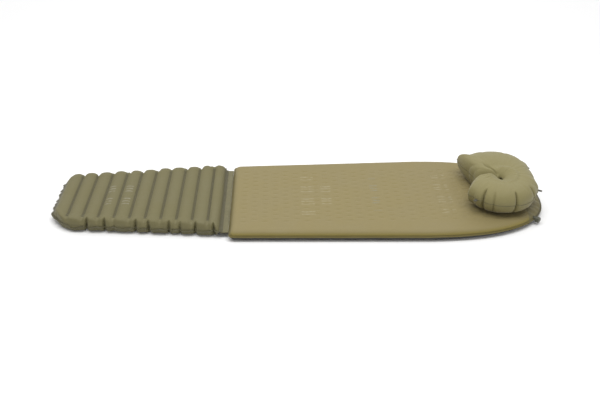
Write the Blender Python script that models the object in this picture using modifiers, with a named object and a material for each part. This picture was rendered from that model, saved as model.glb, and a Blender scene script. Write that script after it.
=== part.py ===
"""Modular inflatable sleeping pad: a self-inflating foam mat, an air-filled foot section of cross
tubes that couples on with hook-and-loop tape, and a horseshoe pillow that lifts off its patches.

Frame: +X towards the head, +Y across, +Z up, origin on the floor under the middle of the pad.
Run it with: blender --background --python part.py
"""

import math

import bmesh
import bpy
from mathutils import Matrix, Vector

# Driving dimensions, in metres
LENGTH = 1.83
SKIN = 0.001  # coated fabric, drawn thicker than the real cloth
GAP = 0.0003  # clearance between neighbouring pieces
WELD = 0.006  # width of the welded margin round each chamber
LIP = GAP / 2 + SKIN  # height of a skin's margin above the seam plane
ROUND_STEPS = 20  # sides of a turned piece

MAT_THICKNESS = 0.038
MAT_FOOT_X = -0.258
MAT_FOOT_HALF_WIDTH = 0.237
MAT_HALF_WIDTH = 0.2555
MAT_SHOULDER_X = 0.45  # where the sides start to curve in to the head end
MAT_HEAD_POWER = 2.5  # superellipse power of the head end
MAT_CORNER = 0.014
MAT_ROLL = 0.022  # distance over which the long edges roll up to full height
MAT_HEAD_ROLL = 0.070  # the same at the head end, past the end of the foam
HEAD_STEPS = 24
CORNER_STEPS = 3

CORE_CLEARANCE = 0.0015  # the skins dip this far into the slots before they touch foam
CORE_INSET = 0.0125
CORE_HEAD_INSET = 0.075
CORE_EDGE = 0.020  # chamfer of the foam's edge
SLOT_LENGTH = 0.026
SLOT_WIDTH = 0.010
SLOT_PITCH_X = 0.078
SLOT_PITCH_Y = 0.056

FOOT_THICKNESS = 0.055
FOOT_END_X = -LENGTH / 2
FOOT_COUPLER_X = -0.288
FOOT_END_HALF_WIDTH = 0.163
FOOT_COUPLER_HALF_WIDTH = 0.2145
FOOT_CORNER = 0.060
FOOT_FIRST_VALLEY_X = -0.845
TUBE_PITCH = 0.0568
BAFFLES = 10
VALLEY_HALF_HEIGHT = 0.0145
FOOT_ROLL = 0.030
BAFFLE_THICKNESS = 0.0012
BAFFLE_END_GAP = 0.042  # air passes round the ends of each baffle
BAFFLE_CLEARANCE = 0.0028  # from the bottom of a valley to the baffle's edge, past the cloth

TAPE_THICKNESS = 0.0018
TAPE_HALF_WIDTH = 0.208
TAPE_CORNER = 0.004

PILLOW_X = 0.747
PILLOW_HALF_LENGTH = 0.138  # along X
PILLOW_HALF_WIDTH = 0.180  # along Y
PILLOW_POWER = 2.4
PILLOW_THICKNESS = 0.107
PILLOW_EYE = 0.006  # radius of the pinched middle of the ring
PILLOW_END = math.radians(172)
PILLOW_END_ROLL = math.radians(37)
PILLOW_COLUMNS = 22
PATCH_THICKNESS = 0.001
PATCH_SIZE = (0.050, 0.030)
PATCH_Y = 0.093
TAB_SIZE = (0.016, 0.010, 0.0016)
TAB_ANGLES = {"near_head": -30, "far_head": 30, "near_arm": -130, "far_arm": 130}

FLAT_VALVE_RADIUS = 0.013
FLAT_VALVE_BORE = 0.0093
PLUG_BORE = 0.0058
DISC = 0.0020  # thickness of the valve's plug and cap discs
PLUG_DEPTH = 0.0040
CAP_DEPTH = 0.0034
RUNNING = 0.0006  # radial clearance of a plug in its bore
PLUG_HINGE = 0.0148  # hinge distance from the valve's middle
CAP_HINGE = 0.0105

SCREW_VALVE_ANGLE = math.radians(-31)  # place along the head end's superellipse
BARREL_RADIUS = 0.0075
BARREL_BORE = 0.0055
BARREL_SPAN = (-0.028, 0.012)  # along the valve, from the edge of the weld
CAP_RADIUS = 0.0105
CAP_SPAN = (0.0015, 0.0165)
CAP_END = 0.0028
STEM_RADIUS = 0.0028
STEM_STOP_RADIUS = 0.0068
VALVE_TRAVEL = 0.006

# Worked out from them
MAT_HEAD_X = LENGTH / 2
MAT_SEAM = MAT_THICKNESS / 2
FOOT_SEAM = FOOT_THICKNESS / 2
COUPLER_Z = 0.0220  # top of the coupler's hook tape
PILLOW_BASE = MAT_THICKNESS + 3 * GAP + 2 * PATCH_THICKNESS
PILLOW_SEAM = PILLOW_BASE + PILLOW_THICKNESS / 2
FOOT_HINGE = Vector((FOOT_COUPLER_X + GAP, 0, FOOT_SEAM))
VALLEYS = [FOOT_FIRST_VALLEY_X + TUBE_PITCH * i for i in range(BAFFLES)]

COLOURS = {
    "mat_fabric": ((0.36, 0.30, 0.13), 0.7),
    "mat_underside": ((0.09, 0.09, 0.07), 0.8),
    "foam": ((0.80, 0.74, 0.50), 0.9),
    "foot_fabric": ((0.24, 0.22, 0.12), 0.65),
    "baffle_film": ((0.45, 0.44, 0.38), 0.5),
    "tape": ((0.21, 0.19, 0.12), 0.95),
    "pillow_fabric": ((0.38, 0.34, 0.18), 0.7),
    "valve_plastic": ((0.06, 0.065, 0.04), 0.45),
    "valve_rubber": ((0.03, 0.03, 0.03), 0.6),
}


def clear_scene():
    for obj in list(bpy.data.objects):
        bpy.data.objects.remove(obj, do_unlink=True)


def new_collection(name):
    collection = bpy.data.collections.new(name)
    bpy.context.scene.collection.children.link(collection)
    return collection


def make_material(name):
    colour, roughness = COLOURS[name]
    material = bpy.data.materials.new(name)
    material.use_nodes = True
    shader = material.node_tree.nodes["Principled BSDF"]
    shader.inputs["Base Color"].default_value = (*colour, 1)
    shader.inputs["Roughness"].default_value = roughness
    shader.inputs["Metallic"].default_value = 0
    return material


def add(name, mesh, finish, place=None, parent=None):
    """Links a piece, places it in the world and hangs it on its joint's empty."""
    obj = bpy.data.objects.new(name, mesh)
    PIECES.objects.link(obj)
    mesh.materials.append(MATERIALS[finish])
    if place:
        obj.matrix_world = place
    if parent:
        hang(obj, parent)
    return obj


def hang(obj, parent):
    bpy.context.view_layer.update()
    obj.parent = parent
    obj.matrix_parent_inverse = parent.matrix_world.inverted()


def joint_empty(name, place, parent=None):
    empty = bpy.data.objects.new(name, None)
    PIECES.objects.link(empty)
    empty.matrix_world = place
    if parent:
        hang(empty, parent)
    bpy.context.view_layer.update()
    return empty


def helper(obj):
    """Moves an object to the helpers' collection and keeps it out of the model."""
    for collection in list(obj.users_collection):
        collection.objects.unlink(obj)
    HELPERS.objects.link(obj)
    obj.hide_render = True
    obj.display_type = "WIRE"
    return obj


def combine(obj, other, operation):
    modifier = obj.modifiers.new(operation.title(), "BOOLEAN")
    modifier.operation = operation
    modifier.solver = "EXACT"
    modifier.object = other


def mesh_of(name, bm):
    mesh = bpy.data.meshes.new(name)
    bm.to_mesh(mesh)
    bm.free()
    return mesh


def solidify(obj):
    modifier = obj.modifiers.new("Fabric", "SOLIDIFY")
    modifier.thickness = SKIN
    modifier.offset = -1
    modifier.use_even_offset = True


def box(name, size, place, finish, parent=None):
    bm = bmesh.new()
    bmesh.ops.create_cube(bm, size=1)
    bmesh.ops.scale(bm, vec=size, verts=bm.verts)
    return add(name, mesh_of(name, bm), finish, place, parent)


def turned(name, profile, place, finish, parent=None, ring=False):
    """A profile of (radius, height) points turned about Z. A ring's profile closes on itself."""
    count = len(profile)
    edges = [(i, (i + 1) % count) for i in range(count if ring else count - 1)]
    mesh = bpy.data.meshes.new(name)
    mesh.from_pydata([(radius, 0, height) for radius, height in profile], edges, [])
    obj = add(name, mesh, finish, place, parent)
    screw = obj.modifiers.new("Turn", "SCREW")
    screw.axis = "Z"
    screw.steps = screw.render_steps = ROUND_STEPS
    screw.use_merge_vertices = True
    screw.merge_threshold = 0.00005
    return obj


def cylinder_helper(name, radius, low, high, place):
    bm = bmesh.new()
    bmesh.ops.create_cone(
        bm, cap_ends=True, segments=ROUND_STEPS, radius1=radius, radius2=radius, depth=high - low
    )
    bmesh.ops.translate(bm, vec=(0, 0, (high + low) / 2), verts=bm.verts)
    return helper(add(name, mesh_of(name, bm), "valve_plastic", place))


def arc(centre, radius, start, end, steps):
    angles = [math.radians(start + (end - start) * i / steps) for i in range(steps + 1)]
    return [(centre[0] + radius * math.cos(a), centre[1] + radius * math.sin(a)) for a in angles]


def rise(distance, reach):
    """Height of a rolled edge, from 0 at its seam to 1 where it levels out."""
    inward = min(max(distance / reach, 0), 1)
    return math.sqrt(1 - (1 - inward) ** 2)


def mat_outline(inset, head_inset):
    """The mat's outline moved in, anticlockwise from the near shoulder round the head end."""
    half = MAT_HALF_WIDTH - inset
    head = MAT_HEAD_X - MAT_SHOULDER_X - head_inset
    points = []
    for step in range(HEAD_STEPS + 1):
        angle = math.pi * (step / HEAD_STEPS - 0.5)
        across, along = math.sin(angle), max(math.cos(angle), 0)
        x = MAT_SHOULDER_X + head * along ** (2 / MAT_HEAD_POWER)
        y = half * math.copysign(abs(across) ** (2 / MAT_HEAD_POWER), across)
        points.append((x, y))
    x = MAT_FOOT_X + inset + MAT_CORNER
    y = MAT_FOOT_HALF_WIDTH - inset - MAT_CORNER
    points += arc((x, y), MAT_CORNER, 90, 180, CORNER_STEPS)
    points += arc((x, -y), MAT_CORNER, 180, 270, CORNER_STEPS)
    return points


def loft(bm, rings, flip):
    """Bridges rings of as many points each and fills the last one."""
    loops = [[bm.verts.new(point) for point in ring] for ring in rings]
    faces = []
    for outer, inner in zip(loops, loops[1:]):
        for i in range(len(outer)):
            j = (i + 1) % len(outer)
            faces.append(bm.faces.new((outer[i], outer[j], inner[j], inner[i])))
    faces.append(bm.faces.new(loops[-1]))
    if flip:
        bmesh.ops.reverse_faces(bm, faces=faces)
    return loops


def mat_skin(name, side, finish):
    """One welded skin of the mat: flat margin, rolled edge and flat panel."""
    steps = [0, WELD] + [WELD + MAT_ROLL * (1 - math.cos(math.radians(a))) for a in (35, 62, 90)]
    rings = []
    for inset in steps:
        share = max(inset - WELD, 0) / MAT_ROLL
        head_inset = min(inset, WELD) + share * MAT_HEAD_ROLL
        height = max(LIP, MAT_SEAM * rise(share, 1))
        z = MAT_SEAM + side * height
        rings.append([(x, y, z) for x, y in mat_outline(inset, head_inset)])
    bm = bmesh.new()
    loft(bm, rings, flip=side < 0)
    skin = add(name, mesh_of(name, bm), finish)
    solidify(skin)
    return skin


def foam_core():
    """The open-cell foam slab, cored with staggered slots to save weight."""
    half = MAT_SEAM - SKIN - CORE_CLEARANCE
    chamfer = half / 2
    rings = []
    for inset, z in ((CORE_EDGE, -half), (0, -chamfer), (0, chamfer), (CORE_EDGE, half)):
        points = mat_outline(CORE_INSET + inset, CORE_HEAD_INSET + inset)
        rings.append([(x, y, MAT_SEAM + z) for x, y in points])
    bm = bmesh.new()
    loops = loft(bm, rings, flip=False)
    bm.faces.new(reversed(loops[0]))
    core = add("mat_foam_core", mesh_of("mat_foam_core", bm), "foam")
    combine(core, slot_cutter(half), "DIFFERENCE")


def core_half_width(x):
    """Half-width of the foam's flat face at x."""
    head = MAT_HEAD_X - MAT_SHOULDER_X - CORE_HEAD_INSET - CORE_EDGE
    along = max(x - MAT_SHOULDER_X, 0) / head
    taper = max(1 - along**MAT_HEAD_POWER, 0) ** (1 / MAT_HEAD_POWER)
    slope = (MAT_HALF_WIDTH - MAT_FOOT_HALF_WIDTH) / (MAT_SHOULDER_X - MAT_FOOT_X)
    side = MAT_HALF_WIDTH - slope * max(MAT_SHOULDER_X - x, 0)
    return (side - CORE_INSET - CORE_EDGE) * taper


def slot_cutter(half):
    """All the lozenge slots, long ways along the pad, with every other column staggered."""
    bm = bmesh.new()
    start = MAT_FOOT_X + CORE_INSET + CORE_EDGE + SLOT_PITCH_X / 3
    columns = int((MAT_HEAD_X - CORE_HEAD_INSET - CORE_EDGE - start) / SLOT_PITCH_X) + 1
    for column in range(columns):
        x = start + SLOT_PITCH_X * column
        room = core_half_width(x + SLOT_LENGTH / 2) - SLOT_WIDTH
        shift = SLOT_PITCH_Y / 2 * (column % 2)
        rows = int((room - shift) / SLOT_PITCH_Y)
        first = -rows if column % 2 == 0 else -rows - 1
        for row in range(first, rows + 1):
            lozenge = bmesh.ops.create_cone(
                bm, cap_ends=True, segments=4, radius1=1, radius2=1, depth=1
            )["verts"]
            bmesh.ops.scale(bm, vec=(SLOT_LENGTH / 2, SLOT_WIDTH / 2, 3 * half), verts=lozenge)
            y = SLOT_PITCH_Y * row + shift
            bmesh.ops.translate(bm, vec=(x, y, MAT_SEAM), verts=lozenge)
    return helper(add("slot_cutter", mesh_of("slot_cutter", bm), "foam"))


def quilted_skin(name, along, across, place, side, finish, parent):
    """A grid of stations shaped by place(u, v), which gives x, y and the height off the seam."""
    bm = bmesh.new()
    columns, rows = len(along) - 1, len(across) - 1
    bmesh.ops.create_grid(bm, x_segments=columns, y_segments=rows, size=1)
    for vert in bm.verts:
        u = along[round((vert.co.x + 1) / 2 * columns)]
        v = across[round((vert.co.y + 1) / 2 * rows)]
        vert.co = place(u, v, side)
    bmesh.ops.recalc_face_normals(bm, faces=bm.faces)
    if sum(face.normal.z * face.calc_area() for face in bm.faces) * side < 0:
        bmesh.ops.reverse_faces(bm, faces=bm.faces)
    skin = add(name, mesh_of(name, bm), finish, parent=parent)
    solidify(skin)
    return skin


def foot_half_width(x):
    slope = (FOOT_COUPLER_HALF_WIDTH - FOOT_END_HALF_WIDTH) / (
        FOOT_COUPLER_X - FOOT_END_X - FOOT_CORNER
    )
    corner_x = FOOT_END_X + FOOT_CORNER
    if x >= corner_x:
        return FOOT_END_HALF_WIDTH + slope * (x - corner_x)
    short = corner_x - x
    return FOOT_END_HALF_WIDTH - FOOT_CORNER + math.sqrt(max(FOOT_CORNER**2 - short**2, 0))


def tube_stations():
    """(x, half-height) along the foot section: a flat margin, then the crowns and valleys."""
    crown = FOOT_THICKNESS / 2
    bounds = [FOOT_END_X + WELD, *VALLEYS, FOOT_COUPLER_X - WELD]
    stations = [(FOOT_END_X, 0)]
    for i, (low, high) in enumerate(zip(bounds, bounds[1:])):
        left = 0 if i == 0 else VALLEY_HALF_HEIGHT
        right = 0 if i == BAFFLES else VALLEY_HALF_HEIGHT
        for share in (0, 0.12, 0.5, 0.88):
            edge = left if share < 0.5 else right
            arch = math.sqrt(1 - (2 * share - 1) ** 2)
            stations.append((low + (high - low) * share, edge + (crown - edge) * arch))
    return stations + [(bounds[-1], 0), (FOOT_COUPLER_X, 0)]


def edge_stations(roll):
    """Signed distances in from each side: margin, rolled edge, then 0 for the middle."""
    steps = [0, WELD] + [WELD + roll * (1 - math.cos(math.radians(a))) for a in (40, 90)]
    return [(-1, s) for s in steps] + [(0, None)] + [(1, s) for s in reversed(steps)]


def foot_point(station, edge, side):
    x, half_height = station
    sign, distance = edge
    shape = 1 if distance is None else rise(distance - WELD, FOOT_ROLL)
    y = 0 if distance is None else sign * (foot_half_width(x) - distance)
    return Vector((x, y, FOOT_SEAM + side * max(LIP, half_height * shape)))


def foot_section(parent):
    stations, edges = tube_stations(), edge_stations(FOOT_ROLL)
    skins = {}
    for name, side in (("foot_top_skin", 1), ("foot_bottom_skin", -1)):
        skins[name] = quilted_skin(name, stations, edges, foot_point, side, "foot_fabric", parent)
    height = 2 * (VALLEY_HALF_HEIGHT - BAFFLE_CLEARANCE)
    for i, x in enumerate(VALLEYS):
        size = (BAFFLE_THICKNESS, 2 * (foot_half_width(x) - BAFFLE_END_GAP), height)
        place = Matrix.Translation((x, 0, FOOT_SEAM))
        box(f"foot_baffle_{i + 1:02d}", size, place, "baffle_film", parent)
    return skins


def coupler_tape(name, top, parent):
    """A strip of tape between the foot section and the mat, its near and far corners rounded."""
    low, high = FOOT_COUPLER_X + GAP, MAT_FOOT_X - GAP
    half = TAPE_HALF_WIDTH - TAPE_CORNER
    inner_low, inner_high = low + TAPE_CORNER, high - TAPE_CORNER
    points = arc((inner_high, half), TAPE_CORNER, 0, 90, 3)
    points += arc((inner_low, half), TAPE_CORNER, 90, 180, 3)
    points += arc((inner_low, -half), TAPE_CORNER, 180, 270, 3)
    points += arc((inner_high, -half), TAPE_CORNER, 270, 360, 3)
    bm = bmesh.new()
    face = bm.faces.new([bm.verts.new((x, y, top - TAPE_THICKNESS)) for x, y in points])
    raised = bmesh.ops.extrude_face_region(bm, geom=[face])["geom"]
    verts = [item for item in raised if isinstance(item, bmesh.types.BMVert)]
    bmesh.ops.translate(bm, vec=(0, 0, TAPE_THICKNESS), verts=verts)
    bmesh.ops.recalc_face_normals(bm, faces=bm.faces)
    add(name, mesh_of(name, bm), "tape", parent=parent)


def pillow_radius(angle):
    across = abs(math.cos(angle)) / PILLOW_HALF_LENGTH
    along = abs(math.sin(angle)) / PILLOW_HALF_WIDTH
    return (across**PILLOW_POWER + along**PILLOW_POWER) ** (-1 / PILLOW_POWER)


def pillow_point(angle, share, side):
    """A point of the horseshoe: share is 0 at the pinched eye and 1 at the outer weld."""
    margin, inner = WELD, PILLOW_EYE
    outer = pillow_radius(angle)
    if share < 0 or share > 1:
        radius = outer if share > 1 else inner
        height = LIP
    else:
        radius = inner + margin + (outer - inner - 2 * margin) * share
        swell = (1 - abs(2 * share - 1) ** 2.2) ** (1 / 2.2)
        ends = rise(PILLOW_END - abs(angle), PILLOW_END_ROLL)
        height = max(LIP, PILLOW_THICKNESS / 2 * swell * ends)
    x, y = PILLOW_X + radius * math.cos(angle), radius * math.sin(angle)
    return Vector((x, y, PILLOW_SEAM + side * height))


def pillow_skins(parent):
    angles = []
    for i in range(PILLOW_COLUMNS + 1):
        even = 2 * i / PILLOW_COLUMNS - 1
        angles.append(PILLOW_END * math.sin(even * math.pi / 2) * 0.35 + PILLOW_END * even * 0.65)
    shares = [-1, 0, 0.12, 0.32, 0.5, 0.68, 0.88, 1, 2]
    finish = "pillow_fabric"
    top = quilted_skin("pillow_top_skin", angles, shares, pillow_point, 1, finish, parent)
    bottom = quilted_skin("pillow_bottom_skin", angles, shares, pillow_point, -1, finish, parent)
    return top, bottom


def pillow_fastenings(parent):
    """Loop patches on the mat, hook patches on the pillow, and webbing tabs round its seam."""
    low = MAT_THICKNESS + GAP + PATCH_THICKNESS / 2
    size = (*PATCH_SIZE, PATCH_THICKNESS)
    for word, y in (("near", -PATCH_Y), ("far", PATCH_Y)):
        box(f"pillow_loop_patch_{word}", size, Matrix.Translation((PILLOW_X, y, low)), "tape")
        place = Matrix.Translation((PILLOW_X, y, low + PATCH_THICKNESS + GAP))
        box(f"pillow_hook_patch_{word}", size, place, "tape", parent)
    for word, degrees in TAB_ANGLES.items():
        angle = math.radians(degrees)
        reach = pillow_radius(angle) + TAB_SIZE[0] / 2 + GAP
        middle = (PILLOW_X + reach * math.cos(angle), reach * math.sin(angle), PILLOW_SEAM)
        place = Matrix.Translation(middle) @ Matrix.Rotation(angle, 4, "Z")
        box(f"pillow_tab_{word}", TAB_SIZE, place, "tape", parent)


def tongue(name, reach, low, place):
    """The flexible strap from a disc to its hinge line, on the side that reach points to."""
    thickness, past = 0.0012, 0.0004
    start = math.copysign(0.004, reach)
    end = reach + math.copysign(past, reach)
    bm = bmesh.new()
    bmesh.ops.create_cube(bm, size=1)
    bmesh.ops.scale(bm, vec=(abs(end - start), 0.006, thickness), verts=bm.verts)
    bmesh.ops.translate(bm, vec=((start + end) / 2, 0, low + thickness / 2), verts=bm.verts)
    for vert in bm.verts:
        if abs(vert.co.x - start) < 1e-6:
            vert.co.z += 0.0002
    return helper(add(name, mesh_of(name, bm), "valve_rubber", place))


def flat_valve(prefix, place, skin, parent):
    """A two-stage flat valve: base ring, deflation plug, inflation cap and the check flap inside.

    Local +Z points out of the chamber. The plug's strap is at -X and the cap's at +X.
    """
    hole = cylinder_helper(f"{prefix}_hole", FLAT_VALVE_RADIUS + GAP, -0.012, 0.012, place)
    combine(skin, hole, "DIFFERENCE")
    rim = FLAT_VALVE_RADIUS
    ring = [(FLAT_VALVE_BORE, 0), (rim - 0.001, 0), (rim, -0.001), (rim, -0.0045)]
    ring += [(FLAT_VALVE_BORE, -0.0045)]
    turned(f"{prefix}_base", ring, place, "valve_plastic", parent, ring=True)

    plug_low = GAP
    hinge_z = plug_low + 0.0006
    plug_axis = place @ Matrix.Translation((-PLUG_HINGE, 0, hinge_z))
    plug_joint = joint_empty(f"{prefix}_plug_joint", plug_axis, parent)
    shank = FLAT_VALVE_BORE - RUNNING
    plug_top = plug_low + DISC
    profile = [(PLUG_BORE, plug_top), (rim - 0.0022, plug_top), (rim - 0.0014, plug_top - 0.0008)]
    profile += [(rim - 0.0014, plug_low), (shank, plug_low), (shank - 0.0004, -PLUG_DEPTH)]
    profile += [(PLUG_BORE, -PLUG_DEPTH)]
    plug = turned(f"{prefix}_plug", profile, place, "valve_rubber", plug_joint, ring=True)
    plug_tongue = tongue(f"{prefix}_plug_tongue", -PLUG_HINGE, plug_low, place)
    combine(plug, plug_tongue, "UNION")
    combine(plug, cylinder_helper(f"{prefix}_plug_bore", PLUG_BORE, -0.01, 0.01, place), "DIFFERENCE")

    flap_top = -PLUG_DEPTH - GAP
    flap = [(0, flap_top), (shank - 0.0010, flap_top), (shank - 0.0010, flap_top - 0.0006)]
    flap += [(0, flap_top - 0.0006)]
    turned(f"{prefix}_flap", flap, place, "valve_rubber", plug_joint)

    cap_low = plug_top + GAP
    cap_axis = place @ Matrix.Translation((CAP_HINGE, 0, cap_low + 0.0006))
    cap_joint = joint_empty(f"{prefix}_cap_joint", cap_axis, plug_joint)
    cap_rim, cap_top, stub = PLUG_BORE + 0.0022, cap_low + DISC, PLUG_BORE - RUNNING
    profile = [(0, cap_top), (cap_rim - 0.0008, cap_top), (cap_rim, cap_top - 0.0008)]
    profile += [(cap_rim, cap_low), (stub, cap_low), (stub - 0.0004, cap_low - CAP_DEPTH)]
    profile += [(0, cap_low - CAP_DEPTH)]
    cap = turned(f"{prefix}_cap", profile, place, "valve_rubber", cap_joint)
    combine(cap, tongue(f"{prefix}_cap_tongue", CAP_HINGE, cap_low, place), "UNION")


def outward_frame(middle, normal, along):
    """A placement whose +Z is normal and whose +X lies along the other direction."""
    z = Vector(normal).normalized()
    x = (Vector(along) - z * z.dot(Vector(along))).normalized()
    frame = Matrix((x, z.cross(x), z)).transposed().to_4x4()
    return Matrix.Translation(middle) @ frame


def foot_valve(skins, parent):
    """On the far end of the second tube, below the seam."""
    x = (VALLEYS[0] + VALLEYS[1]) / 2
    tilt = math.radians(-28)
    y = foot_half_width(x) - WELD - FOOT_ROLL * (1 - math.cos(tilt)) - 0.0010
    z = FOOT_SEAM + FOOT_THICKNESS / 2 * math.sin(tilt)
    place = outward_frame((x, y, z), (0, math.cos(tilt), math.sin(tilt)), (1, 0, 0))
    flat_valve("foot_valve", place, skins["foot_bottom_skin"], parent)


def pillow_valve(skin, parent):
    """On the pillow's far wall, below its seam."""
    share, angle = 0.955, math.radians(90)
    point = pillow_point(angle, share, -1)
    place = outward_frame(point + Vector((0, -0.001, 0)), (0, 0.94, -0.34), (1, 0, 0))
    flat_valve("pillow_valve", place, skin, parent)


def screw_valve_frame():
    """The mat valve's placement: +Z out of the head end's weld, square to the outline."""
    across, along = math.sin(SCREW_VALVE_ANGLE), math.cos(SCREW_VALVE_ANGLE)
    head = MAT_HEAD_X - MAT_SHOULDER_X
    share_x = along ** (2 / MAT_HEAD_POWER)
    share_y = math.copysign(abs(across) ** (2 / MAT_HEAD_POWER), across)
    steep = MAT_HEAD_POWER - 1
    normal_x = share_x**steep / head
    normal_y = math.copysign(abs(share_y) ** steep, share_y) / MAT_HALF_WIDTH
    middle = (MAT_SHOULDER_X + head * share_x, MAT_HALF_WIDTH * share_y, MAT_SEAM)
    return outward_frame(middle, (normal_x, normal_y, 0), (0, 0, 1))


def screw_valve(skins):
    """The mat's screw valve: a welded barrel, a cap that unscrews, and its stem and seal."""
    place = screw_valve_frame()
    low, high = BARREL_SPAN
    notch = cylinder_helper("barrel_hole", BARREL_RADIUS + GAP, low - 0.02, high, place)
    for skin in skins:
        combine(skin, notch, "DIFFERENCE")
    barrel = [(BARREL_BORE, high), (BARREL_RADIUS, high), (BARREL_RADIUS, low), (BARREL_BORE, low)]
    turned("mat_valve_barrel", barrel, place, "valve_plastic", ring=True)

    lift = joint_empty("mat_valve_lift_joint", place)
    stop = low - VALVE_TRAVEL - 0.0005
    top = high + 4 * GAP
    stem = [(0, top), (STEM_RADIUS, top), (STEM_RADIUS, stop)]
    stem += [(STEM_STOP_RADIUS, stop), (STEM_STOP_RADIUS, stop - 0.0015), (0, stop - 0.0015)]
    turned("mat_valve_stem", stem, place, "valve_plastic", lift)
    seal_low, seal_high = high + GAP, high + 4 * GAP
    middle = (BARREL_BORE + BARREL_RADIUS) / 2
    seal = [(middle - 0.0009, seal_high), (middle + 0.0009, seal_high)]
    seal += [(middle + 0.0009, seal_low), (middle - 0.0009, seal_low)]
    turned("mat_valve_seal", seal, place, "valve_rubber", lift, ring=True)

    twist = joint_empty("mat_valve_twist_joint", place, lift)
    start, end = CAP_SPAN
    inner, floor = BARREL_RADIUS + 0.0005, end - CAP_END
    cap = [(0, end), (CAP_RADIUS - 0.0012, end), (CAP_RADIUS, end - 0.0012), (CAP_RADIUS, start)]
    cap += [(inner, start), (inner, floor), (0, floor)]
    cap_piece = turned("mat_valve_cap", cap, place, "valve_plastic", twist)
    for i in range(6):
        turn = Matrix.Rotation(math.radians(60 * i), 4, "Z")
        spot = turn @ Matrix.Translation((CAP_RADIUS + 0.0006, 0, 0))
        groove = cylinder_helper(f"cap_groove_{i}", 0.0016, start - 0.01, end + 0.01, place @ spot)
        combine(cap_piece, groove, "DIFFERENCE")


def main():
    top = mat_skin("mat_top_skin", 1, "mat_fabric")
    bottom = mat_skin("mat_bottom_skin", -1, "mat_underside")
    foam_core()
    screw_valve((top, bottom))
    coupler_tape("coupler_loop_tape", COUPLER_Z - TAPE_THICKNESS - GAP, None)

    lift = joint_empty("foot_lift_joint", Matrix.Translation(FOOT_HINGE))
    coupler_tape("coupler_hook_tape", COUPLER_Z, lift)
    fold = joint_empty("foot_fold_joint", Matrix.Translation(FOOT_HINGE), lift)
    foot_valve(foot_section(fold), fold)

    pillow = joint_empty("pillow_lift_joint", Matrix.Translation((PILLOW_X, 0, PILLOW_BASE)))
    pillow_bottom = pillow_skins(pillow)[1]
    pillow_fastenings(pillow)
    pillow_valve(pillow_bottom, pillow)


clear_scene()
PIECES = new_collection("inflatable_sleeping_pad")
HELPERS = new_collection("helpers")
MATERIALS = {name: make_material(name) for name in COLOURS}
main()
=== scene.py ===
"""Looks of the inflatable sleeping pad: foam mat, air-filled foot section and horseshoe pillow.

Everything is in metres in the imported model's frame: X runs from the foot end to the head end,
Y from the near side to the far side, and Z up from the floor.
"""

import math

import bmesh
import bpy
import numpy as np
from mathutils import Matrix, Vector, noise


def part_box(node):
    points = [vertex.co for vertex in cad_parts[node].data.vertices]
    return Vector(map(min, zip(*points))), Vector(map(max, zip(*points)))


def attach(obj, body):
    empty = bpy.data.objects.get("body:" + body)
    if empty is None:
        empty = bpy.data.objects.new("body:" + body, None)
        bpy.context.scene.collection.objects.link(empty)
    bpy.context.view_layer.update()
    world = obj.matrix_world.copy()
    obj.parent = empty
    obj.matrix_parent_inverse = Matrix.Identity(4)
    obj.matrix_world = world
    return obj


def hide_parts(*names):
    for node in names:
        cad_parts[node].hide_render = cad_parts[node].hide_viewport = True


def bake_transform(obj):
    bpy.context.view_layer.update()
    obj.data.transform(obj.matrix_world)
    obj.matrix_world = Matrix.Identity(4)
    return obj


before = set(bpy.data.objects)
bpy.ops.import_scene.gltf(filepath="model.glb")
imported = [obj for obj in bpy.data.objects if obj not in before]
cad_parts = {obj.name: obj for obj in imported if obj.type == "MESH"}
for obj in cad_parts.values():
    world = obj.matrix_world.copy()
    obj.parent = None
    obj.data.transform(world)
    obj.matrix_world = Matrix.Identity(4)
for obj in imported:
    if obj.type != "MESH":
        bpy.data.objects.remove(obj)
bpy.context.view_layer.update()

# The mat
MAT_LOW, MAT_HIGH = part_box("mat_top_skin")
MAT_FOOT_X, MAT_HEAD_X = MAT_LOW.x, MAT_HIGH.x
MAT_HALF_WIDTH = MAT_HIGH.y
MAT_FOOT_HALF_WIDTH = 0.237
MAT_SHOULDER_X = 0.45
MAT_HEAD_POWER = 2.5
MAT_TOP = MAT_HIGH.z
MAT_SEAM = MAT_TOP / 2
MAT_CORNER = 0.014
MAT_ROLL = 0.022
MAT_BASE_ROLL = 0.009  # the pad's weight squashes the lower edge
MAT_HEAD_ROLL = 0.070
WELD = 0.006
FILM_HALF = 0.0008  # half the thickness of the mat's weld
STRIP_HALF = 0.0007  # half the thickness of the other two pieces' welds
STRIP_ROOT = 0.0012  # how far those welds reach into their covers
GAP = 0.0004  # kept between a skin and what it lies on

# The foot section
FOOT_LOW, FOOT_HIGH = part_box("foot_top_skin")
FOOT_END_X, FOOT_COUPLER_X = FOOT_LOW.x, FOOT_HIGH.x
FOOT_TOP = FOOT_HIGH.z
FOOT_SEAM = FOOT_TOP / 2
FOOT_COUPLER_HALF_WIDTH = FOOT_HIGH.y
FOOT_END_HALF_WIDTH = 0.163
FOOT_CORNER = 0.060
VALLEY_HALF_HEIGHT = 0.0130
BAFFLES = sorted(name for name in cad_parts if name.startswith("foot_baffle"))
VALLEYS = [(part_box(name)[0].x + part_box(name)[1].x) / 2 for name in BAFFLES]
TUBE_PITCH = VALLEYS[1] - VALLEYS[0]

# The pillow
PILLOW_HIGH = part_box("pillow_top_skin")[1]
PILLOW_X = 0.747
PILLOW_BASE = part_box("pillow_bottom_skin")[0].z
PILLOW_TOP = PILLOW_HIGH.z
PILLOW_SEAM = (PILLOW_BASE + PILLOW_TOP) / 2
PILLOW_HALF_LENGTH = PILLOW_HIGH.x - PILLOW_X
PILLOW_HALF_WIDTH = PILLOW_HIGH.y
PILLOW_POWER = 2.4


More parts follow.
